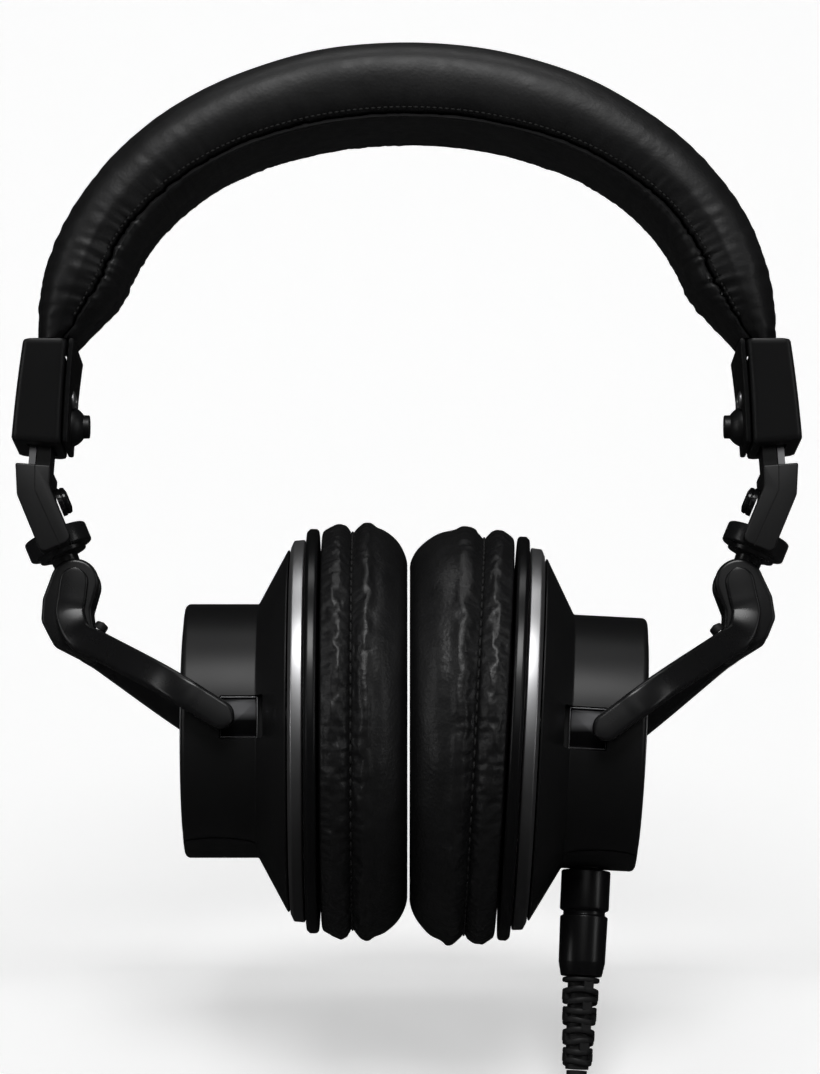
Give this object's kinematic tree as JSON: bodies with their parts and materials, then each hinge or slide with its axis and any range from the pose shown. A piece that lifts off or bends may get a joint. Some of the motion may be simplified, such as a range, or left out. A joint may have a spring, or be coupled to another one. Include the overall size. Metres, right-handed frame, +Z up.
{
  "type": "over-ear headphones",
  "caption": "Closed-back over-ear headphones with a padded headband, sliding and swivelling forked yokes, round cushioned cups, chrome trim rings and a plug-in cable.",
  "frame": {"origin": "underside of the headband at its crown, in the middle of its width, where a head or hook holds it", "axes": "+X across the head towards the cabled cup, -Y the front, +Z up along the headband's line of symmetry"},
  "size_m": [0.1748, 0.1227, 0.2793],
  "materials": {
    "leather": "soft grained leatherette, faint sheen",
    "satin_plastic": "satin moulded black",
    "painted_metal": "semi-gloss black",
    "chrome": "dark bright plating",
    "steel": "brushed",
    "rubber": "matt moulded rubber",
    "driver_cloth": "thin woven cloth"
  },
  "bodies": {
    "headband": {"band_cover": "leather", "band_cushion": "leather", "band_spring": "steel", "left_end_cap": "satin_plastic", "left_cap_plate": "satin_plastic", "left_plate_screw_a": "chrome", "left_plate_screw_b": "chrome", "left_click_dome": "satin_plastic", "right_end_cap": "satin_plastic", "right_cap_plate": "satin_plastic", "right_plate_screw_a": "chrome", "right_plate_screw_b": "chrome", "right_click_dome": "satin_plastic"},
    "left_slider": {"left_slider_bar": "satin_plastic", "left_slider_strip": "steel", "left_hinge_block": "satin_plastic", "left_block_boss": "satin_plastic"},
    "left_swivel": {"left_swivel_knuckle": "painted_metal"},
    "left_yoke": {"left_yoke": "painted_metal", "left_fold_pin": "steel", "left_pivot_pin_front": "steel", "left_pivot_pin_rear": "steel", "left_elbow_stop": "rubber"},
    "left_cup": {"left_cup_housing": "satin_plastic", "left_cap_disc": "satin_plastic", "left_cap_rim": "chrome", "left_trim_ring": "chrome", "left_baffle": "satin_plastic", "left_driver": "painted_metal", "left_driver_cloth": "driver_cloth", "left_pad": "leather"},
    "right_slider": {"right_slider_bar": "satin_plastic", "right_slider_strip": "steel", "right_hinge_block": "satin_plastic", "right_block_boss": "satin_plastic"},
    "right_swivel": {"right_swivel_knuckle": "painted_metal"},
    "right_yoke": {"right_yoke": "painted_metal", "right_fold_pin": "steel", "right_pivot_pin_front": "steel", "right_pivot_pin_rear": "steel", "right_elbow_stop": "rubber"},
    "right_cup": {"right_cup_housing": "satin_plastic", "right_cap_disc": "satin_plastic", "right_cap_rim": "chrome", "right_trim_ring": "chrome", "right_baffle": "satin_plastic", "right_driver": "painted_metal", "right_driver_cloth": "driver_cloth", "right_pad": "leather", "right_cable_socket": "painted_metal", "right_cup_plug": "satin_plastic", "right_strain_relief": "rubber", "cord": "rubber", "cord_coil": "rubber", "far_plug": "steel"}
  },
  "joints": [
    {"name": "left_slide", "type": "slide", "parent": "headband", "child": "left_slider", "axis": [-0.0698, 0, -0.9976], "range_m": [0, 0.016]},
    {"name": "left_swivel", "type": "hinge", "parent": "left_slider", "child": "left_swivel", "pos_m": [-0.0734, 0, -0.1034], "axis": [0.3859, 0, -0.9225], "range_deg": [-90, 90], "deforming": ["left_pad"]},
    {"name": "left_fold", "type": "hinge", "parent": "left_swivel", "child": "left_yoke", "pos_m": [-0.0734, 0, -0.1034], "axis": [0, 1, 0], "range_deg": [0, 20]},
    {"name": "left_tilt", "type": "hinge", "parent": "left_yoke", "child": "left_cup", "pos_m": [-0.04009, 0, -0.13579], "axis": [0, 1, 0], "range_deg": [-8, 8]},
    {"name": "right_slide", "type": "slide", "parent": "headband", "child": "right_slider", "axis": [0.0698, 0, -0.9976], "range_m": [0, 0.016]},
    {"name": "right_swivel", "type": "hinge", "parent": "right_slider", "child": "right_swivel", "pos_m": [0.0734, 0, -0.1034], "axis": [-0.3859, 0, -0.9225], "range_deg": [-90, 90], "deforming": ["right_pad"]},
    {"name": "right_fold", "type": "hinge", "parent": "right_swivel", "child": "right_yoke", "pos_m": [0.0734, 0, -0.1034], "axis": [0, -1, 0], "range_deg": [0, 20]},
    {"name": "right_tilt", "type": "hinge", "parent": "right_yoke", "child": "right_cup", "pos_m": [0.04292, 0, -0.13846], "axis": [0, -1, 0], "range_deg": [-8, 8]}
  ]
}
